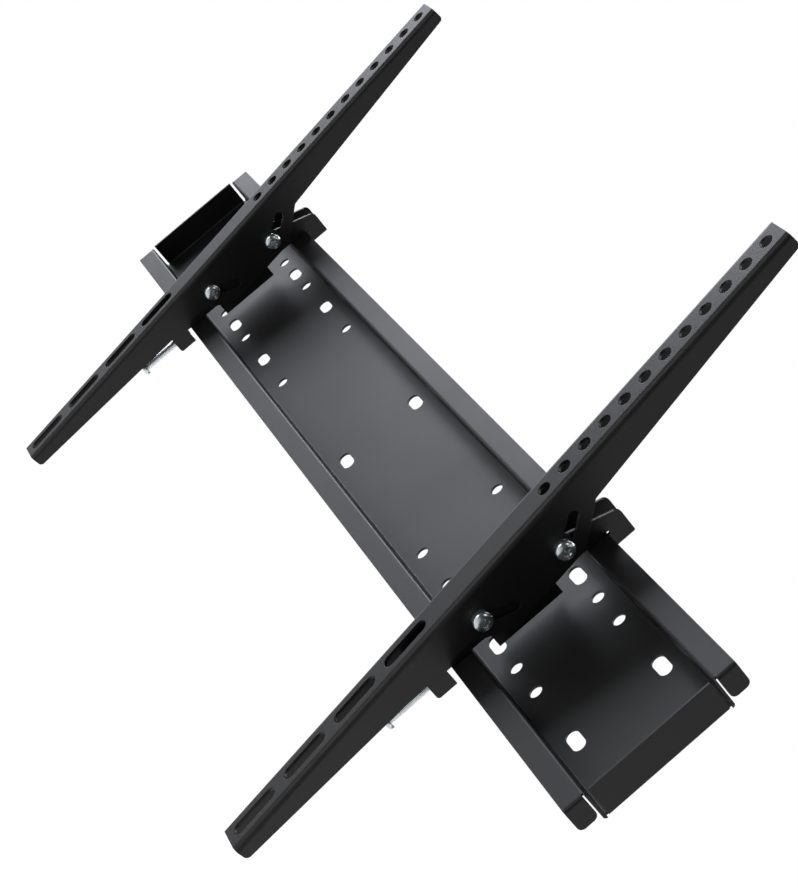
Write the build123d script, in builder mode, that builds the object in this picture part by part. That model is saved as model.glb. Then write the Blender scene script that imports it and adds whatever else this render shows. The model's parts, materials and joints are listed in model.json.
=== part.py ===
from build123d import *
from math import atan2, degrees, hypot
import os

# Tilting wall bracket for a flat screen. Millimetres.
# X runs along the wall plate, +Y points into the wall, Z is up.
# y = 0 is the wall, the middle of the plate is x = 0, z = 0.
# It is stored as photographed: both arms lean forward at the top.

os.makedirs("parts", exist_ok=True)

# wall plate: one folded sheet
plate_len = 848.0
plate_t = 1.5
rail_depth = 20.2  # wall to front of the rail lips
rail_in = 40.5  # inner face of each rail wall, from the middle
lip_edge = 54.8  # free edge of each lip, from the middle
bend_in = 0.5  # inner radius of the plate's folds
flap_gap = 1.8  # folded end to each rail wall
flap_depth = 20.8
stop_gap = 0.8  # rail wall to the end stop beside it
stop_back = 4.0  # free edge of an end stop, from the wall
stop_corner_r = 3.5
row_z = 28.8  # the two rows of wall holes
wall_hole_d = 8.0
wall_hole_x = (140.5, 232.5, 286.0, 313.0)
wall_slot_len = 17.0
wall_slot_w = 8.2
wall_slot_x = (186.5, 259.0, 365.0)

# where the two arms stand on the rails, and how far they lean
left_x = -273.0
right_x = 265.0
tilt_rest = 8.8
tilt_max = 10.0  # each way

# tilt axis and the two bolts, in the bracket
pivot_y = -83.4
pivot_z = 7.3
bolt_y = -33.5
bolt_up_z = 31.5
bolt_low_z = -26.0

# arm: a channel, drawn upright with the tilt axis at its origin
arm_t = 2.0
arm_w = 22.4
arm_bend_r = 3.7
arm_front = 26.4  # tilt axis to the front face
hole_0 = 33.0  # lowest round hole, above the tilt axis
hole_pitch = 16.0
hole_count = 12
hole_d = 8.4
top_margin = 10.5  # last round hole to the arm's top end
slot_count = 4
slot_pitch = 40.0
slot_len = 32.0
slot_0 = -77.5  # middle of the first long slot
arm_bottom = -218.0
tip_top = 10.6  # depth of the webs at the top end
tip_bottom = 9.9
neck_top = 21.3  # depth where the upper web starts to deepen
neck_top_z = 47.5
deep = 38.5  # full depth of the webs
deep_top_z = 24.0
deep_low_z = -33.0
neck_low = 23.4
neck_low_z = -54.0
arm_corner_r = 3.0
tilt_slot_w = 6.8

# hook bracket: a channel inside the arm
bracket_t = 2.0
bracket_front = -42.9
bracket_top = 68.2
bracket_bottom = -71.3
hook_back = -9.9
front_line_top = -27.2  # front edge at the top of the hook
front_line_z = 18.9  # where the sloped front edge starts
web_low_front_z = -36.0
web_low_front_y = -29.0
cross_top = 15.0  # the cross face between the webs
cross_low = -34.0
step_top = 16.6  # the part of the rear edge that reaches into the plate
step_low = -27.9
hook_fit = 0.2  # lip to the slot of the hook
leg_low = 45.5
tail_gap = 3.2  # lip to the tail below it
relief_r = 1.2  # round corner of the hook's slot
relief_in = 0.6  # its middle, behind the front of the slot
hook_corner_r = 4.5
web_corner_r = 2.0
hook_edge_r = 1.0

# M6 tilt bolts with their nuts, washers and spacers
bolt_d = 6.0
bolt_hole_d = 6.1
head_d = 12.0
head_h = 4.6
head_round = 0.7  # share of a head's height that is rounded
washer_d = 11.0
washer_t = 1.6
washer_bore = 6.4
nut_af = 10.0
nut_h = 6.0
nut_play = 0.05  # nut to the shaft inside it
thread_out = 2.0
bolt_tip = 0.6  # chamfer
spacer_d = 10.0
friction_d = 15.0
friction_t = 0.5
upper_turn = 20.0  # how far the cross in a head is turned
lower_turn = 65.0

# M5 safety screws
safety_d = 5.0
safety_len = 35.0
safety_head_d = 9.5
safety_head_h = 3.6
safety_tip = 0.5  # chamfer
safety_y = -14.8
safety_out = 1.8  # end of the screw above its nut, screw backed out
safety_hole_d = 5.2
shelf_t = 2.0
shelf_front = -31.0
shelf_inset = 2.0  # from the webs' rear edge
shelf_gap = 0.3  # to the web that it isn't folded from
safety_nut_af = 8.0
safety_nut_h = 4.0
recess_w = 1.3  # arms of the cross in a head
recess_depth = 2.4
safety_recess_depth = 2.2
recess_taper = 8.0

# worked out from the above
half_len = plate_len / 2
rail_out = rail_in + plate_t
lip_back = -rail_depth + plate_t
bend_out = bend_in + plate_t
slit_len = bend_out  # room beside each end fold
flap_half = rail_in - flap_gap
stop_in = rail_out + stop_gap
arm_in = arm_w / 2 - arm_t
bracket_w = 2 * (arm_in - friction_t)
bracket_in = bracket_w / 2 - bracket_t
shelf_back = hook_back - shelf_inset
safety_head_z = bracket_bottom + shelf_t + safety_nut_h + safety_out - safety_len
arm_top = hole_0 + (hole_count - 1) * hole_pitch + top_margin
seat_y = -rail_depth - hook_fit
notch_back = lip_back + hook_fit
tail_top = -lip_edge - tail_gap
head_x = arm_w / 2 + washer_t
bolt_len = 2 * head_x + nut_h + thread_out
bolt_spots = ((bolt_y, bolt_up_z), (bolt_y, bolt_low_z))


def corners(face, *spots):
    """The corners of a sketched face that lie on the given spots."""
    found = []
    for spot in spots:
        found.append(face.vertices().sort_by_distance((spot[0], spot[1], 0))[0])
    return found


# the plate: folded section, then its ends and holes
with BuildPart() as wall_plate:
    with BuildSketch(Plane.YZ.offset(-half_len)) as section:
        with BuildLine():
            Polyline(
                (-rail_depth, lip_edge), (-rail_depth, rail_in), (-plate_t, rail_in),
                (-plate_t, -rail_in), (-rail_depth, -rail_in), (-rail_depth, -lip_edge),
                (lip_back, -lip_edge), (lip_back, -rail_out), (0, -rail_out),
                (0, rail_out), (lip_back, rail_out), (lip_back, lip_edge), close=True,
            )
        make_face()
        for side in (1, -1):
            flat = section.sketch_local
            fillet(corners(flat, (-plate_t, side * rail_in), (lip_back, side * rail_out)), bend_in)
            flat = section.sketch_local
            fillet(corners(flat, (-rail_depth, side * rail_in), (0, side * rail_out)), bend_out)
    extrude(amount=plate_len)
    for side in (1, -1):
        # room beside each end fold, so that the sheet can bend there
        with BuildSketch(Plane.XZ):
            for row in (1, -1):
                with Locations((side * (half_len - slit_len / 2), row * (rail_in + flap_half - bend_in) / 2)):
                    Rectangle(slit_len, flap_gap - bend_in)
        extrude(amount=plate_t + bend_in, mode=Mode.SUBTRACT)
        with BuildSketch(Plane.XZ.offset(rail_depth)):
            for row in (1, -1):
                with Locations((side * (half_len - slit_len / 2), row * (rail_out + stop_in) / 2)):
                    Rectangle(slit_len, stop_gap)
        extrude(amount=-bend_out, mode=Mode.SUBTRACT)
        # folded end
        with BuildSketch(Plane.YZ.offset(side * half_len)):
            with Locations((-flap_depth / 2, 0)):
                Rectangle(flap_depth, 2 * flap_half)
            # end stops, bent back from the lips
            for row in (1, -1):
                with BuildLine():
                    Polyline(
                        (-rail_depth, row * stop_in), (-rail_depth, row * lip_edge),
                        (-stop_back, row * lip_edge), (-stop_back, row * stop_in), close=True,
                    )
                make_face()
        extrude(amount=-side * plate_t)
    with BuildSketch(Plane.XZ):
        with Locations(*[(x * sx, z) for x in wall_hole_x for sx in (1, -1) for z in (row_z, -row_z)]):
            Circle(wall_hole_d / 2)
        with Locations(*[(x * sx, z) for x in wall_slot_x for sx in (1, -1) for z in (row_z, -row_z)]):
            SlotOverall(wall_slot_len, wall_slot_w)
        with Locations((0, row_z), (0, -row_z)):
            SlotOverall(wall_slot_len, wall_slot_w)
    extrude(amount=plate_t, mode=Mode.SUBTRACT)
    # round the stops' free corners, then the folds, inside first
    stop_edges = []
    for edge in wall_plate.edges().filter_by(Axis.X):
        if abs(edge.center().Y + stop_back) < 0.01 and edge.length < 2 * plate_t:
            stop_edges.append(edge)
    fillet(stop_edges, stop_corner_r)
    inside_x = half_len - plate_t
    folds = ((inside_x, -plate_t, 0, bend_in), (inside_x, lip_back, stop_in, bend_in))
    folds += ((half_len, 0, 0, bend_out), (half_len, -rail_depth, stop_in, bend_out))
    for fold_x, fold_y, low_z, radius in folds:
        fold_edges = []
        for edge in wall_plate.edges().filter_by(Axis.Z):
            at = edge.center()
            if abs(abs(at.X) - fold_x) < 0.01 and abs(at.Y - fold_y) < 0.01:
                if (low_z == 0) == (abs(at.Z) < flap_half):
                    fold_edges.append(edge)
        fillet(fold_edges, radius)

# one arm, upright, its tilt axis at the origin
with BuildPart() as arm:
    outline = (
        (arm_front, arm_top), (arm_front + tip_top, arm_top), (arm_front + neck_top, neck_top_z),
        (arm_front + deep, deep_top_z), (arm_front + deep, deep_low_z),
        (arm_front + neck_low, neck_low_z), (arm_front + tip_bottom, arm_bottom),
        (arm_front, arm_bottom),
    )
    with BuildSketch(Plane.YZ) as side_view:
        with BuildLine():
            Polyline(*outline, close=True)
        make_face()
        fillet(corners(side_view.sketch_local, *outline[1:7]), arm_corner_r)
    extrude(amount=arm_w / 2, both=True)
    bends = []
    for edge in arm.edges().filter_by(Axis.Z):
        if abs(edge.center().Y - arm_front) < 0.01:
            bends.append(edge)
    fillet(bends, arm_bend_r)
    with BuildSketch(Plane.XY.offset(arm_bottom)) as inside:
        with BuildLine():
            Polyline(
                (-arm_in, arm_front + arm_t), (arm_in, arm_front + arm_t),
                (arm_in, arm_front + 2 * deep), (-arm_in, arm_front + 2 * deep), close=True,
            )
        make_face()
        front_corners = ((-arm_in, arm_front + arm_t), (arm_in, arm_front + arm_t))
        fillet(corners(inside.sketch_local, *front_corners), arm_bend_r - arm_t)
    extrude(amount=arm_top - arm_bottom, mode=Mode.SUBTRACT)
    with BuildSketch(Plane.XZ.offset(-arm_front - arm_t)):
        with Locations(*[(0, hole_0 + n * hole_pitch) for n in range(hole_count)]):
            Circle(hole_d / 2)
        with Locations(*[(0, slot_0 - n * slot_pitch) for n in range(slot_count)]):
            SlotOverall(slot_len, hole_d, rotation=90)
    extrude(amount=arm_t, mode=Mode.SUBTRACT)
    # arc slots around the tilt axis, one for each bolt, through both webs
    with BuildSketch(Plane.YZ.offset(-arm_w / 2)):
        for spot in bolt_spots:
            reach = hypot(spot[0] - pivot_y, spot[1] - pivot_z)
            lean = degrees(atan2(spot[1] - pivot_z, spot[0] - pivot_y))
            path = Edge.make_circle(reach, start_angle=lean - tilt_max, end_angle=lean + tilt_max)
            SlotArc(path, tilt_slot_w)
    extrude(amount=arm_w, mode=Mode.SUBTRACT)

# one hook bracket, in place, its middle at x = 0
with BuildPart() as bracket:
    rim = (
        (hook_back, bracket_top), (front_line_top, bracket_top), (bracket_front, front_line_z),
        (bracket_front, web_low_front_z), (web_low_front_y, bracket_bottom),
        (hook_back, bracket_bottom), (hook_back, tail_top), (seat_y, tail_top),
        (seat_y, step_low), (hook_back, step_low), (hook_back, step_top), (seat_y, step_top),
        (seat_y, lip_edge), (notch_back, lip_edge), (notch_back, leg_low), (hook_back, leg_low),
    )
    with BuildSketch(Plane.YZ) as side_view:
        with BuildLine():
            Polyline(*rim, close=True)
        make_face()
        fillet(corners(side_view.sketch_local, rim[1]), hook_corner_r)
        fillet(corners(side_view.sketch_local, rim[5], rim[8]), web_corner_r)
        fillet(corners(side_view.sketch_local, rim[0], rim[14], rim[15]), hook_edge_r)
        with Locations((seat_y + relief_in, lip_edge + relief_r / 2)):
            Circle(relief_r, mode=Mode.SUBTRACT)
    extrude(amount=bracket_w / 2, both=True)
    bends = []
    for edge in bracket.edges().filter_by(Axis.Z):
        if abs(edge.center().Y - bracket_front) < 0.01:
            bends.append(edge)
    fillet(bends, bracket_t + bend_in)
    with BuildSketch(Plane.XY.offset(bracket_bottom)) as inside:
        with BuildLine():
            Polyline(
                (-bracket_in, bracket_front + bracket_t), (bracket_in, bracket_front + bracket_t),
                (bracket_in, 0), (-bracket_in, 0), close=True,
            )
        make_face()
        front_corners = ((-bracket_in, bracket_front + bracket_t), (bracket_in, bracket_front + bracket_t))
        fillet(corners(inside.sketch_local, *front_corners), bend_in)
    extrude(amount=bracket_top - bracket_bottom, mode=Mode.SUBTRACT)
    # the cross face joins the webs only around the bolts
    with BuildSketch(Plane.XZ.offset(-bracket_front)):
        with Locations((0, (bracket_top + cross_top) / 2)):
            Rectangle(2 * bracket_in, bracket_top - cross_top)
        with Locations((0, (bracket_bottom + cross_low) / 2)):
            Rectangle(2 * bracket_in, cross_low - bracket_bottom)
    extrude(amount=-2 * bracket_t, mode=Mode.SUBTRACT)
    # shelf for the safety screw, folded from one web
    with BuildSketch(Plane.XY.offset(bracket_bottom)):
        with Locations((-shelf_gap / 2, (shelf_front + shelf_back) / 2)):
            Rectangle(2 * bracket_in - shelf_gap, shelf_back - shelf_front)
        with Locations((0, safety_y)):
            Circle(safety_hole_d / 2, mode=Mode.SUBTRACT)
    extrude(amount=shelf_t)
    with BuildSketch(Plane.YZ.offset(-bracket_w / 2)):
        with Locations(*bolt_spots):
            Circle(bolt_hole_d / 2)
    extrude(amount=bracket_w, mode=Mode.SUBTRACT)

# tilt bolt along X: pan head with a cross recess on the right side of the arm
with BuildPart() as bolt:
    with BuildSketch(Plane.YZ.offset(head_x - bolt_len)):
        Circle(bolt_d / 2)
    extrude(amount=bolt_len)
    with BuildSketch(Plane.YZ.offset(head_x)):
        Circle(head_d / 2)
    extrude(amount=head_h)
    fillet(bolt.edges().group_by(Axis.X)[-1], head_round * head_h)
    chamfer(bolt.edges().group_by(Axis.X)[0], bolt_tip)
    with BuildSketch(Plane.YZ.offset(head_x + head_h)):
        Rectangle(recess_w, head_d / 2)
        Rectangle(head_d / 2, recess_w)
    extrude(amount=-recess_depth, taper=recess_taper, mode=Mode.SUBTRACT)

# safety screw along Z, its head below
with BuildPart() as safety:
    with BuildSketch(Plane.XY.offset(safety_head_z)):
        Circle(safety_d / 2)
    extrude(amount=safety_len)
    with BuildSketch(Plane.XY.offset(safety_head_z - safety_head_h)):
        Circle(safety_head_d / 2)
    extrude(amount=safety_head_h)
    fillet(safety.edges().group_by(Axis.Z)[0], head_round * safety_head_h)
    chamfer(safety.edges().group_by(Axis.Z)[-1], safety_tip)
    with BuildSketch(Plane(origin=(0, 0, safety_head_z - safety_head_h), z_dir=(0, 0, -1))):
        Rectangle(recess_w, safety_head_d / 2)
        Rectangle(safety_head_d / 2, recess_w)
    extrude(amount=-safety_recess_depth, taper=recess_taper, mode=Mode.SUBTRACT)

# nuts on the far side of the arm
with BuildPart() as nuts:
    with BuildSketch(Plane.YZ.offset(-head_x - nut_h)):
        with Locations(*bolt_spots):
            RegularPolygon(nut_af / 2, 6, major_radius=False)
            Circle(bolt_d / 2 + nut_play, mode=Mode.SUBTRACT)
    extrude(amount=nut_h)

# washers under the heads
with BuildPart() as head_washers:
    with BuildSketch(Plane.YZ.offset(arm_w / 2)):
        with Locations(*bolt_spots):
            Circle(washer_d / 2)
            Circle(washer_bore / 2, mode=Mode.SUBTRACT)
    extrude(amount=washer_t)

# washers under the nuts
with BuildPart() as nut_washers:
    with BuildSketch(Plane.YZ.offset(-head_x)):
        with Locations(*bolt_spots):
            Circle(washer_d / 2)
            Circle(washer_bore / 2, mode=Mode.SUBTRACT)
    extrude(amount=washer_t)

# plastic discs between the arm's webs and the bracket's webs
with BuildPart() as friction_discs:
    for start in (bracket_w / 2, -arm_in):
        with BuildSketch(Plane.YZ.offset(start)):
            with Locations(*bolt_spots):
                Circle(friction_d / 2)
                Circle(washer_bore / 2, mode=Mode.SUBTRACT)
        extrude(amount=friction_t)

# tubes that keep the bracket's webs apart
with BuildPart() as spacers:
    with BuildSketch(Plane.YZ.offset(-bracket_in)):
        with Locations(*bolt_spots):
            Circle(spacer_d / 2)
            Circle(washer_bore / 2, mode=Mode.SUBTRACT)
    extrude(amount=2 * bracket_in)

# nut on the shelf
with BuildPart() as safety_nut:
    with BuildSketch(Plane.XY.offset(bracket_bottom + shelf_t)):
        with Locations((0, safety_y)):
            RegularPolygon(safety_nut_af / 2, 6, major_radius=False)
            Circle(safety_d / 2 + nut_play, mode=Mode.SUBTRACT)
    extrude(amount=safety_nut_h)


def keep(label, solid):
    """Name a piece and write it."""
    solid.label = label
    export_step(solid, "parts/" + label + ".step")


keep("wall_plate", wall_plate.part)
for side, x in (("left", left_x), ("right", right_x)):
    keep(side + "_arm", Pos(x, pivot_y, pivot_z) * Rot(tilt_rest, 0, 0) * arm.part)
    keep(side + "_bracket", Pos(x, 0, 0) * bracket.part)
    keep(side + "_upper_bolt", Pos(x, bolt_y, bolt_up_z) * Rot(upper_turn, 0, 0) * bolt.part)
    keep(side + "_lower_bolt", Pos(x, bolt_y, bolt_low_z) * Rot(lower_turn, 0, 0) * bolt.part)
    keep(side + "_nuts", Pos(x, 0, 0) * nuts.part)
    keep(side + "_head_washers", Pos(x, 0, 0) * head_washers.part)
    keep(side + "_nut_washers", Pos(x, 0, 0) * nut_washers.part)
    keep(side + "_friction_discs", Pos(x, 0, 0) * friction_discs.part)
    keep(side + "_spacers", Pos(x, 0, 0) * spacers.part)
    keep(side + "_safety_screw", Pos(x, safety_y, 0) * safety.part)
    keep(side + "_safety_nut", Pos(x, 0, 0) * safety_nut.part)
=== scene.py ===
import json
import math

import bmesh
import bpy
from mathutils import Matrix, Vector


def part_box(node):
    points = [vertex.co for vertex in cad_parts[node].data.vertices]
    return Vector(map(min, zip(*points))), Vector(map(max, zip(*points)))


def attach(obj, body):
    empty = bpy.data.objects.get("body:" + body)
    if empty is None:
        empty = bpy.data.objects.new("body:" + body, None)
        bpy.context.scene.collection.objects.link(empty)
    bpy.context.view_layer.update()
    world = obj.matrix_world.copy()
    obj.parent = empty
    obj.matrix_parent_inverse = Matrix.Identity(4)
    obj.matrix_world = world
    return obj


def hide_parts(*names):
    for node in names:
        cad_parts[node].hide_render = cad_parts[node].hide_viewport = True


# Tilting wall bracket for a flat screen: looks, light and camera.
# Metres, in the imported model's frame: X along the plate, +Y into the wall, Z up.

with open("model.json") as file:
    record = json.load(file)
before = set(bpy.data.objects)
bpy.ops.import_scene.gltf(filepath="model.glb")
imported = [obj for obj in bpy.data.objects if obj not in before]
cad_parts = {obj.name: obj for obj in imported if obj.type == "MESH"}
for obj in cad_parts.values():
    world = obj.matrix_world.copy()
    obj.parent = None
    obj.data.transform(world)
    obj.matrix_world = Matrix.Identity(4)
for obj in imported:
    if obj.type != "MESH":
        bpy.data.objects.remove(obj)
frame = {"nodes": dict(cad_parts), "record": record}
nodes = frame["nodes"]
scene = bpy.context.scene
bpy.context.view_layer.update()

MM = 0.001
TAU = 2 * math.pi


# materials

COAT_DARK = (0.003, 0.003, 0.0032)
COAT_LIGHT = (0.005, 0.005, 0.0053)
BRACKET_LIGHT = (0.004, 0.004, 0.0042)
# paler coat colours for the folded edges: painted highlights where the folds catch light
COAT_EDGE_HIGHLIGHT = (0.012, 0.012, 0.0125)
ARM_EDGE_HIGHLIGHT = (0.014, 0.014, 0.0145)


def new_material(name):
    """(material, its node tree, its principled shader), with nothing else in the tree."""
    material = bpy.data.materials.new(name)
    material.use_nodes = True
    tree = material.node_tree
    tree.nodes.clear()
    out = tree.nodes.new("ShaderNodeOutputMaterial")
    shader = tree.nodes.new("ShaderNodeBsdfPrincipled")
    tree.links.new(shader.outputs["BSDF"], out.inputs["Surface"])
    return material, tree, shader


def noise(tree, vector, scale, detail=2.0, rough=0.5):
    node = tree.nodes.new("ShaderNodeTexNoise")
    node.inputs["Scale"].default_value = scale
    node.inputs["Detail"].default_value = detail
    node.inputs["Roughness"].default_value = rough
    tree.links.new(vector, node.inputs["Vector"])
    return node.outputs["Fac"]


def remap(tree, value, low, high, to_low, to_high):
    node = tree.nodes.new("ShaderNodeMapRange")
    node.inputs["From Min"].default_value = low
    node.inputs["From Max"].default_value = high
    node.inputs["To Min"].default_value = to_low
    node.inputs["To Max"].default_value = to_high
    tree.links.new(value, node.inputs["Value"])
    return node.outputs["Result"]


def math_node(tree, kind, first, second):
    node = tree.nodes.new("ShaderNodeMath")
    node.operation = kind
    for socket, value in zip(node.inputs, (first, second)):
        if isinstance(value, (int, float)):
            socket.default_value = value
        else:
            tree.links.new(value, socket)
    return node.outputs[0]


def mix_colour(tree, factor, first, second):
    node = tree.nodes.new("ShaderNodeMix")
    node.data_type = "RGBA"
    tree.links.new(factor, node.inputs["Factor"])
    for socket, value in ((node.inputs["A"], first), (node.inputs["B"], second)):
        if isinstance(value, tuple):
            socket.default_value = (*value, 1.0)
        else:
            tree.links.new(value, socket)
    return node.outputs["Result"]


def object_vector(tree, offset):
    """Object coordinates, moved a little so that two materials don't show the same cloud."""
    coords = tree.nodes.new("ShaderNodeTexCoord")
    mapping = tree.nodes.new("ShaderNodeMapping")
    mapping.inputs["Location"].default_value = offset
    tree.links.new(coords.outputs["Object"], mapping.inputs["Vector"])
    return mapping.outputs["Vector"]


def edge_mask(tree, radius):
    """(rounded normal, mask that is 0 on flat faces and up to 1 on edges)"""
    bevel = tree.nodes.new("ShaderNodeBevel")
    bevel.samples = 6
    bevel.inputs["Radius"].default_value = radius
    geometry = tree.nodes.new("ShaderNodeNewGeometry")
    dot = tree.nodes.new("ShaderNodeVectorMath")
    dot.operation = "DOT_PRODUCT"
    tree.links.new(bevel.outputs["Normal"], dot.inputs[0])
    tree.links.new(geometry.outputs["Normal"], dot.inputs[1])
    mask = remap(tree, dot.outputs["Value"], 0.995, 0.80, 0.0, 1.0)
    return bevel.outputs["Normal"], mask


def bumpy(tree, shader, height, strength, distance, normal=None):
    """Gives the shader small relief from a height value, on top of an already rounded normal."""
    bump = tree.nodes.new("ShaderNodeBump")
    bump.inputs["Strength"].default_value = strength
    bump.inputs["Distance"].default_value = distance
    tree.links.new(height, bump.inputs["Height"])
    if normal is not None:
        tree.links.new(normal, bump.inputs["Normal"])
    tree.links.new(bump.outputs["Normal"], shader.inputs["Normal"])


def powder_coat(name, light, edge_highlight, rough, offset):
    """Satin black powder coat: fine grain, faint clouds, and a painted highlight that makes the colour paler
    on the folded edges.
    """
    material, tree, shader = new_material(name)
    vector = object_vector(tree, offset)
    cloud = noise(tree, vector, 16.0, 3.0)
    speck = noise(tree, vector, 2600.0, 1.0)
    peel = noise(tree, vector, 900.0, 2.0)
    grain = noise(tree, vector, 3400.0, 2.0, 0.7)
    normal, mask = edge_mask(tree, 0.45 * MM)
    body = mix_colour(tree, remap(tree, cloud, 0.3, 0.7, 0.0, 1.0), COAT_DARK, light)
    sparkle = remap(tree, speck, 0.62, 0.78, 0.0, 0.3)
    body = mix_colour(tree, sparkle, body, tuple(2.0 * c for c in light))
    # painted highlight: the colour is lightened in patches along the edges, standing in for folds that catch
    # light
    painted_edge_highlight = math_node(tree, "MULTIPLY", mask, remap(tree, peel, 0.3, 0.7, 0.35, 1.0))
    colour = mix_colour(tree, painted_edge_highlight, body, edge_highlight)
    tree.links.new(colour, shader.inputs["Base Color"])
    dull = remap(tree, cloud, 0.3, 0.7, rough - 0.03, rough + 0.03)
    dull = math_node(tree, "ADD", dull, remap(tree, grain, 0.2, 0.8, -0.05, 0.05))
    tree.links.new(dull, shader.inputs["Roughness"])
    coarse = math_node(tree, "MULTIPLY", peel, 0.6)
    fine = math_node(tree, "MULTIPLY", grain, 0.4)
    bumpy(tree, shader, math_node(tree, "ADD", coarse, fine), 0.5, 0.065 * MM, normal)
    return material


def zinc_plate(name, tint, rough, offset):
    """Bright zinc with a cool tint and a slightly uneven shine under a clear film, with a painted highlight:
    paler colour on the edges.
    """
    material, tree, shader = new_material(name)
    vector = object_vector(tree, offset)
    cloud = noise(tree, vector, 240.0, 3.0)
    grain = noise(tree, vector, 4200.0, 2.0, 0.7)
    normal, mask = edge_mask(tree, 0.18 * MM)
    deeper = tuple(0.93 * c for c in tint)
    # painted highlight: the zinc colour is made paler on the edges, where they catch light
    zinc_edge_highlight = tuple(min(1.0, 1.12 * c) for c in tint)
    body = mix_colour(tree, remap(tree, cloud, 0.3, 0.7, 0.0, 1.0), deeper, tint)
    tree.links.new(mix_colour(tree, mask, body, zinc_edge_highlight), shader.inputs["Base Color"])
    dull = remap(tree, cloud, 0.25, 0.75, rough - 0.03, rough + 0.04)
    tree.links.new(dull, shader.inputs["Roughness"])
    shader.inputs["Metallic"].default_value = 0.95
    shader.inputs["Coat Weight"].default_value = 1.0
    shader.inputs["Coat Roughness"].default_value = 0.12
    shader.inputs["Coat IOR"].default_value = 1.9
    bumpy(tree, shader, grain, 0.04, 0.01 * MM, normal)
    return material


def plastic(name, colour, offset):
    """Matt black nylon for the friction discs."""
    material, tree, shader = new_material(name)
    vector = object_vector(tree, offset)
    grain = noise(tree, vector, 1800.0, 2.0)
    speckled = mix_colour(tree, grain, colour, tuple(1.5 * c for c in colour))
    tree.links.new(speckled, shader.inputs["Base Color"])
    tree.links.new(remap(tree, grain, 0.3, 0.7, 0.55, 0.68), shader.inputs["Roughness"])
    bumpy(tree, shader, grain, 0.3, 0.03 * MM)
    return material


looks = {
    "plate_coat": powder_coat("plate_coat", COAT_LIGHT, COAT_EDGE_HIGHLIGHT, 0.46, (0, 0, 0)),
    "arm_coat": powder_coat("arm_coat", COAT_LIGHT, ARM_EDGE_HIGHLIGHT, 0.44, (3, 1, 2)),
    "bracket_coat": powder_coat("bracket_coat", BRACKET_LIGHT, COAT_EDGE_HIGHLIGHT, 0.44, (1, 5, 2)),
    "zinc": zinc_plate("zinc", (0.86, 0.93, 0.96), 0.24, (2, 2, 1)),
    "disc_plastic": plastic("disc_plastic", (0.02, 0.02, 0.021), (4, 1, 1)),
}

for part in frame["record"]["subparts"]:
    piece = nodes[part["node"]]
    piece.data.materials.clear()
    piece.data.materials.append(looks[part["material_slot"]])


# screws and nuts with their threads

SHARP = math.radians(35)  # edges steeper than this stay crisp


def finish_mesh(mesh):
    mesh.materials.append(looks["zinc"])
    for face in mesh.polygons:
        face.use_smooth = True
    mesh.set_sharp_from_angle(angle=SHARP)


def closed_mesh(bm, name):
    """Turns the faces of a bmesh outwards and hands it over as a mesh."""
    bmesh.ops.recalc_face_normals(bm, faces=bm.faces)
    mesh = bpy.data.meshes.new(name)
    bm.to_mesh(mesh)
    bm.free()
    return mesh


def ring_of(bm, radii, height):
    """One ring of points about Z, with a radius for each."""
    ring = []
    for k, radius in enumerate(radii):
        turn = TAU * k / len(radii)
        ring.append(bm.verts.new((radius * math.cos(turn), radius * math.sin(turn), height)))
    return ring


def lathe(bm, profile, around):
    """Turns (radius, height) points about Z. A radius of 0 closes the end."""
    rings = []
    for radius, height in profile:
        if radius == 0:
            rings.append([bm.verts.new((0, 0, height))])
        else:
            rings.append(ring_of(bm, [radius] * around, height))
    join_rings(bm, rings, around)


def join_rings(bm, rings, around):
    """Faces between rings that follow each other. A ring of one point closes to a tip."""
    for low, high in zip(rings, rings[1:]):
        for k in range(around):
            n = (k + 1) % around
            corners = [low[k % len(low)], low[n % len(low)], high[n % len(high)], high[k % len(high)]]
            kept = []
            for vert in corners:
                if vert not in kept:
                    kept.append(vert)
            bm.faces.new(kept)


def thread_rings(bm, root, crest, pitch, low, high, around=32, per_turn=8):
    """The rings of a threaded shank along Z, its crest running round as a helix."""
    half_ridge = 0.42  # share of the pitch
    rings = []
    count = int((high - low) / pitch * per_turn)
    for i in range(count + 1):
        height = low + (high - low) * i / count
        fade = min(1.0, (height - low) / pitch, (high - height) / pitch)
        radii = []
        for k in range(around):
            phase = (height / pitch - k / around) % 1.0
            ridge = 1.0 - min(1.0, abs(phase - 0.5) / half_ridge)
            radii.append(root + (crest - root) * max(0.0, ridge) * max(0.0, fade))
        rings.append(ring_of(bm, radii, height))
    join_rings(bm, rings, around)
    for ring, flip in ((rings[0], True), (rings[-1], False)):
        bm.faces.new(ring[::-1] if flip else ring)


def cross_cutter(width, reach, depth, top):
    """The tapered four-winged form of a cross recess. It starts above height top and ends depth below it."""
    flare = 1.12  # mouth, as a share of the size at the top
    short, thin = 0.42, 0.8  # length and width of a wing at the floor, as shares
    mouth_z = top + depth * 0.3
    bm = bmesh.new()
    for half_x, half_y, shrink_x, shrink_y in ((reach, width, short, thin), (width, reach, thin, short)):
        upper = [(half_x, half_y), (-half_x, half_y), (-half_x, -half_y), (half_x, -half_y)]
        mouth = [bm.verts.new((x * flare, y * flare, mouth_z)) for x, y in upper]
        floor = [bm.verts.new((x * shrink_x, y * shrink_y, top - depth)) for x, y in upper]
        bm.faces.new(mouth)
        bm.faces.new(floor[::-1])
        for k in range(4):
            n = (k + 1) % 4
            bm.faces.new((mouth[n], mouth[k], floor[k], floor[n]))
    return closed_mesh(bm, "cutter")


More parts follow.
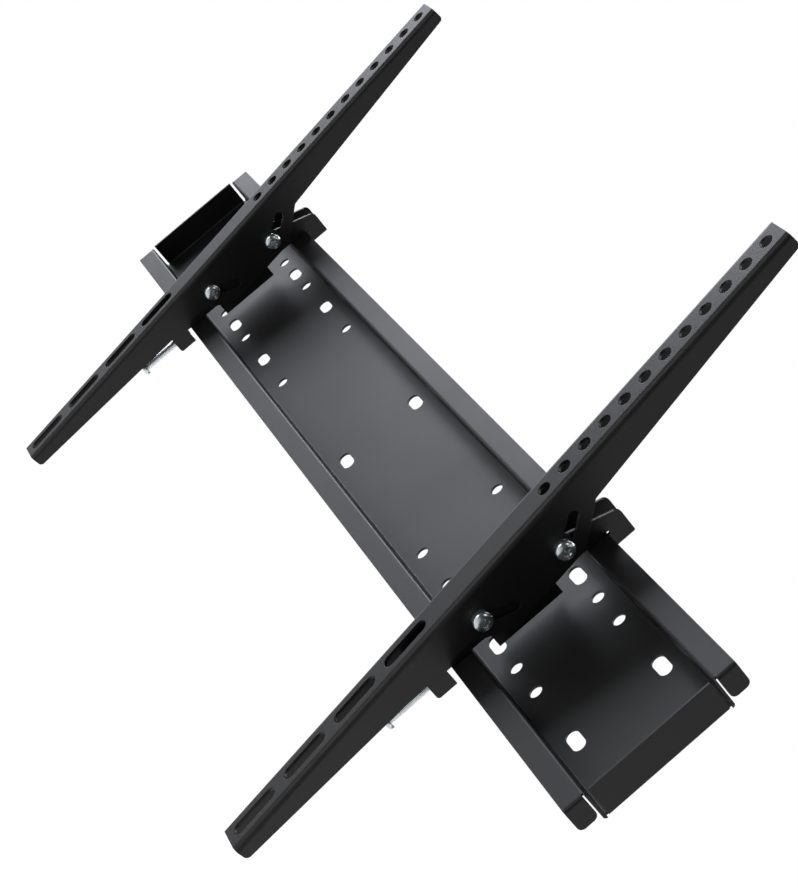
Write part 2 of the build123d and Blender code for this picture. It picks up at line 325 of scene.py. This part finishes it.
def boolean(mesh, cutter, kind):
    """mesh cut or trimmed by cutter, as a new mesh."""
    base = bpy.data.objects.new("base", mesh)
    tool = bpy.data.objects.new("tool", cutter)
    scene.collection.objects.link(base)
    scene.collection.objects.link(tool)
    step = base.modifiers.new("cut", "BOOLEAN")
    step.operation = kind
    step.object = tool
    step.solver = "EXACT"
    step.use_self = True
    depsgraph = bpy.context.evaluated_depsgraph_get()
    made = bpy.data.meshes.new_from_object(base.evaluated_get(depsgraph))
    bpy.data.objects.remove(base)
    bpy.data.objects.remove(tool)
    return made


def pan_head(diameter, height, recess):
    """A pan head standing on z = 0 with a cross recess in its top."""
    r = diameter / 2
    rim = 0.42  # share of the height that is upright
    flat = 0.30  # share of the radius that the dome doesn't reach
    steps = 12
    profile = [(0, 0), (r * 0.985, 0), (r, height * 0.05), (r, height * rim)]
    for k in range(1, steps + 1):
        t = k / steps * math.pi / 2
        out = r * (flat + (1 - flat) * math.cos(t))
        profile.append((out, height * (rim + (1 - rim) * math.sin(t))))
    profile.append((r * flat / 2, height))
    profile.append((0, height))
    bm = bmesh.new()
    lathe(bm, profile, 64)
    head = closed_mesh(bm, "head")
    cutter = cross_cutter(width=recess * 0.5, reach=recess * 2.35, depth=height * 0.62, top=height)
    return boolean(head, cutter, "DIFFERENCE")


def screw(name, size, pitch, depth, length, head_d, head_h, recess, grip):
    """A screw along Z with its head on z = 0 and its tip at -length.

    depth is that of the thread, recess the width of the cross, grip the plain part under the head.
    """
    bm = bmesh.new()
    bm.from_mesh(pan_head(head_d, head_h, recess))
    if grip > 0:
        plain = size / 2 * 0.99
        lathe(bm, [(0, 0.0), (plain, 0.0), (plain, -grip), (0, -grip)], 32)
    root = size / 2 - depth
    thread_rings(bm, root, size / 2, pitch, -length + 0.2 * MM, -grip)
    tip = [(0, -length), (root - 0.15 * pitch, -length), (root, -length + 0.25 * MM), (0, -length + 0.3 * MM)]
    lathe(bm, tip, 32)
    mesh = closed_mesh(bm, name)
    finish_mesh(mesh)
    return mesh


def hex_nut(across, height, bore):
    """A nut standing on z = 0 with chamfered corners and a countersunk bore."""
    bm = bmesh.new()
    corner = across / math.sqrt(3)
    lower, upper = ring_of(bm, [corner] * 6, 0), ring_of(bm, [corner] * 6, height)
    bm.faces.new(lower[::-1])
    bm.faces.new(upper)
    join_rings(bm, [lower, upper], 6)
    prism = closed_mesh(bm, "prism")
    bm = bmesh.new()
    rim = across / 2 * 0.97
    drop = (corner - rim) * math.tan(math.radians(30))
    wide = corner * 1.001
    lathe(bm, [(0, 0), (rim, 0), (wide, drop), (wide, height - drop), (rim, height), (0, height)], 72)
    body = boolean(prism, closed_mesh(bm, "turned"), "INTERSECT")
    bm = bmesh.new()
    cone = bore * 0.14
    r, mouth = bore / 2, bore / 2 + cone
    below, above = -1 * MM, height + 1 * MM
    lathe(bm, [(0, below), (mouth, below), (mouth, 0), (r, cone), (r, height - cone), (mouth, height),
               (mouth, above), (0, above)], 48)
    return boolean(body, closed_mesh(bm, "hole"), "DIFFERENCE")


def place(name, mesh_parts, body, replaced):
    """One zinc piece from (mesh, matrix) parts, riding on a body in place of a CAD node."""
    bm = bmesh.new()
    for mesh, matrix in mesh_parts:
        copy = mesh.copy()
        copy.transform(matrix)
        bm.from_mesh(copy)
        bpy.data.meshes.remove(copy)
    made = bpy.data.meshes.new(name)
    bm.to_mesh(made)
    bm.free()
    finish_mesh(made)
    piece = bpy.data.objects.new(name, made)
    scene.collection.objects.link(piece)
    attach(piece, body)
    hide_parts(replaced)


def middle(node):
    low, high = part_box(node)
    return (low + high) / 2


M6_HEAD_H = 4.6 * MM
M5_HEAD_H = 3.6 * MM
tilt_screw = screw(
    "tilt_screw", size=6.0 * MM, pitch=1.0 * MM, depth=0.35 * MM, length=33.6 * MM,
    head_d=12.0 * MM, head_h=M6_HEAD_H, recess=1.25 * MM, grip=3.0 * MM)
safety_screw = screw(
    "safety_screw", size=5.0 * MM, pitch=0.8 * MM, depth=0.16 * MM, length=35.0 * MM,
    head_d=9.5 * MM, head_h=M5_HEAD_H, recess=1.05 * MM, grip=0.0)
m6_nut = hex_nut(across=10.0 * MM, height=6.0 * MM, bore=6.0 * MM)
m5_nut = hex_nut(across=8.0 * MM, height=4.0 * MM, bore=5.0 * MM)
along_x = Matrix.Rotation(math.radians(90), 4, "Y")  # Z to +X
head_down = Matrix.Rotation(math.radians(180), 4, "X")

for side in ("left", "right"):
    nuts = []
    nuts_node = f"{side}_nuts"
    nuts_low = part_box(nuts_node)[0]
    for which, turn in (("upper", 20.0), ("lower", 65.0)):
        node = f"{side}_{which}_bolt"
        centre = middle(node)
        under_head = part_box(node)[1].x - M6_HEAD_H
        spin = Matrix.Rotation(math.radians(turn), 4, "X")
        at = Matrix.Translation((under_head, centre.y, centre.z)) @ spin @ along_x
        place(f"{node}_threaded", [(tilt_screw, at)], f"{node}_body", node)
        nuts.append((m6_nut, Matrix.Translation((nuts_low.x, centre.y, centre.z)) @ along_x))
    node = f"{side}_safety_screw"
    centre = middle(node)
    under_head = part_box(node)[0].z + M5_HEAD_H
    at = Matrix.Translation((centre.x, centre.y, under_head)) @ head_down
    place(f"{node}_threaded", [(safety_screw, at)], f"{side}_safety_body", node)
    place(f"{nuts_node}_chamfered", nuts, f"{side}_carriage", nuts_node)
    node = f"{side}_safety_nut"
    centre = middle(node)
    at = Matrix.Translation((centre.x, centre.y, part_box(node)[0].z))
    place(f"{node}_chamfered", [(m5_nut, at)], f"{side}_carriage", node)


# floor, light and camera

FLOOR_Z = -0.9
REACH = 30.0  # half the floor's width
WHITE = (1.0, 1.0, 1.0)
COOL = (0.975, 1.0, 1.085)


def softbox(name, bearing, rise, wide, tall, glow, tint=WHITE, distance=3.0):
    """A soft rectangle that faces the part. glow is how bright it looks from there.

    The bearing, in degrees, runs from straight in front over the left side to behind.
    """
    turn, lift = math.radians(bearing), math.radians(rise)
    away = Vector((-math.sin(turn) * math.cos(lift), -math.cos(turn) * math.cos(lift), math.sin(lift)))
    data = bpy.data.lights.new(name, "AREA")
    data.shape = "RECTANGLE"
    data.size = wide
    data.size_y = tall
    data.energy = glow * math.pi * wide * tall
    data.color = tint
    lamp = bpy.data.objects.new(name, data)
    lamp.location = distance * away
    lamp.rotation_euler = (-away).to_track_quat("-Z", "Y").to_euler()
    lamp.visible_camera = False
    scene.collection.objects.link(lamp)


def white_seen_dim_lit(tree, glow):
    """White where it is looked at, and only as bright as glow where it lights or mirrors in the part."""
    path = tree.nodes.new("ShaderNodeLightPath")
    strength = tree.nodes.new("ShaderNodeMapRange")
    strength.inputs["To Min"].default_value = glow
    strength.inputs["To Max"].default_value = 1.0
    tree.links.new(path.outputs["Is Camera Ray"], strength.inputs["Value"])
    return strength.outputs["Result"]


floor_mesh = bpy.data.meshes.new("floor")
floor_corners = ((-REACH, -REACH), (REACH, -REACH), (REACH, REACH), (-REACH, REACH))
floor_mesh.from_pydata([(x, y, FLOOR_Z) for x, y in floor_corners], [], [(0, 1, 2, 3)])
floor = bpy.data.objects.new("floor", floor_mesh)
scene.collection.objects.link(floor)
floor_look, floor_tree, floor_shader = new_material("floor_white")
floor_shader.inputs["Base Color"].default_value = (0.8, 0.8, 0.8, 1.0)
floor_shader.inputs["Roughness"].default_value = 0.9
floor_shader.inputs["Specular IOR Level"].default_value = 0.0
floor_shader.inputs["Emission Color"].default_value = (*WHITE, 1.0)
floor_tree.links.new(white_seen_dim_lit(floor_tree, 0.2), floor_shader.inputs["Emission Strength"])
floor_mesh.materials.append(floor_look)

world = bpy.data.worlds.new("studio")
world.use_nodes = True
scene.world = world
sky = world.node_tree
sky.nodes.clear()
backdrop = sky.nodes.new("ShaderNodeBackground")
backdrop.inputs["Color"].default_value = (*WHITE, 1.0)
sky.links.new(white_seen_dim_lit(sky, 0.03), backdrop.inputs["Strength"])
sky_out = sky.nodes.new("ShaderNodeOutputWorld")
sky.links.new(backdrop.outputs["Background"], sky_out.inputs["Surface"])

# the large, slightly cool lights at the left that the front faces mirror, brightest just above the horizon
softbox("key", 56, 16, 0.86, 0.60, 13.0, COOL)
softbox("key_side", 72, 16, 0.86, 0.60, 5.7, COOL)
softbox("wide", 73, 6, 2.8, 0.60, 2.9, COOL)
softbox("wide_lower", 81, -4, 1.8, 0.60, 1.4, COOL)
softbox("low", 64, -15, 1.7, 0.60, 0.7, COOL)
# the pale background that the sides mirror, and light for the folds, the screws, the top and the back
softbox("behind_right_low", -124, -18, 2.4, 0.90, 1.4)
softbox("behind_right", -124, 3, 2.4, 1.20, 0.4)
softbox("behind_right_high", -124, 32, 2.4, 1.80, 0.5)
softbox("behind_left", 118, 5, 1.6, 1.20, 1.1)
softbox("front", -16, -8, 0.9, 1.10, 4.0)
softbox("right_high", -76, 36, 0.9, 0.40, 2.5)
softbox("top_back", 180, 58, 2.0, 1.60, 3.0)
softbox("top", 45, 78, 2.0, 2.00, 0.8, distance=2.6)
softbox("back", 180, 20, 2.4, 1.60, 1.5)

# the camera: focal length and image centre in the photograph's pixels, place and axes in the part's frame
PHOTO_W, PHOTO_H = 798.0, 894.0
FOCAL = 2368.9
CENTRE_X, CENTRE_Y = 440.0, 300.0
SENSOR = 36.0
EYE = Vector((1.316266, -0.757679, -0.012257))
RIGHT = Vector((0.350253, 0.547410, 0.760043))
DOWN = Vector((0.326176, 0.689370, -0.646822))
AHEAD = Vector((-0.878028, 0.474458, 0.062902))

camera_data = bpy.data.cameras.new("camera")
camera_data.sensor_fit = "AUTO"
camera_data.sensor_width = SENSOR
camera_data.lens = FOCAL * SENSOR / PHOTO_H
camera_data.shift_x = (PHOTO_W / 2 - CENTRE_X) / PHOTO_H
camera_data.shift_y = (CENTRE_Y - PHOTO_H / 2) / PHOTO_H
camera_data.clip_start = 0.01
camera_data.clip_end = 100.0
camera = bpy.data.objects.new("camera", camera_data)
turned = Matrix((RIGHT, -DOWN, -AHEAD)).transposed().to_4x4()
camera.matrix_world = Matrix.Translation(EYE) @ turned
scene.collection.objects.link(camera)
scene.camera = camera
scene.view_settings.view_transform = "Standard"
scene.view_settings.look = "None"
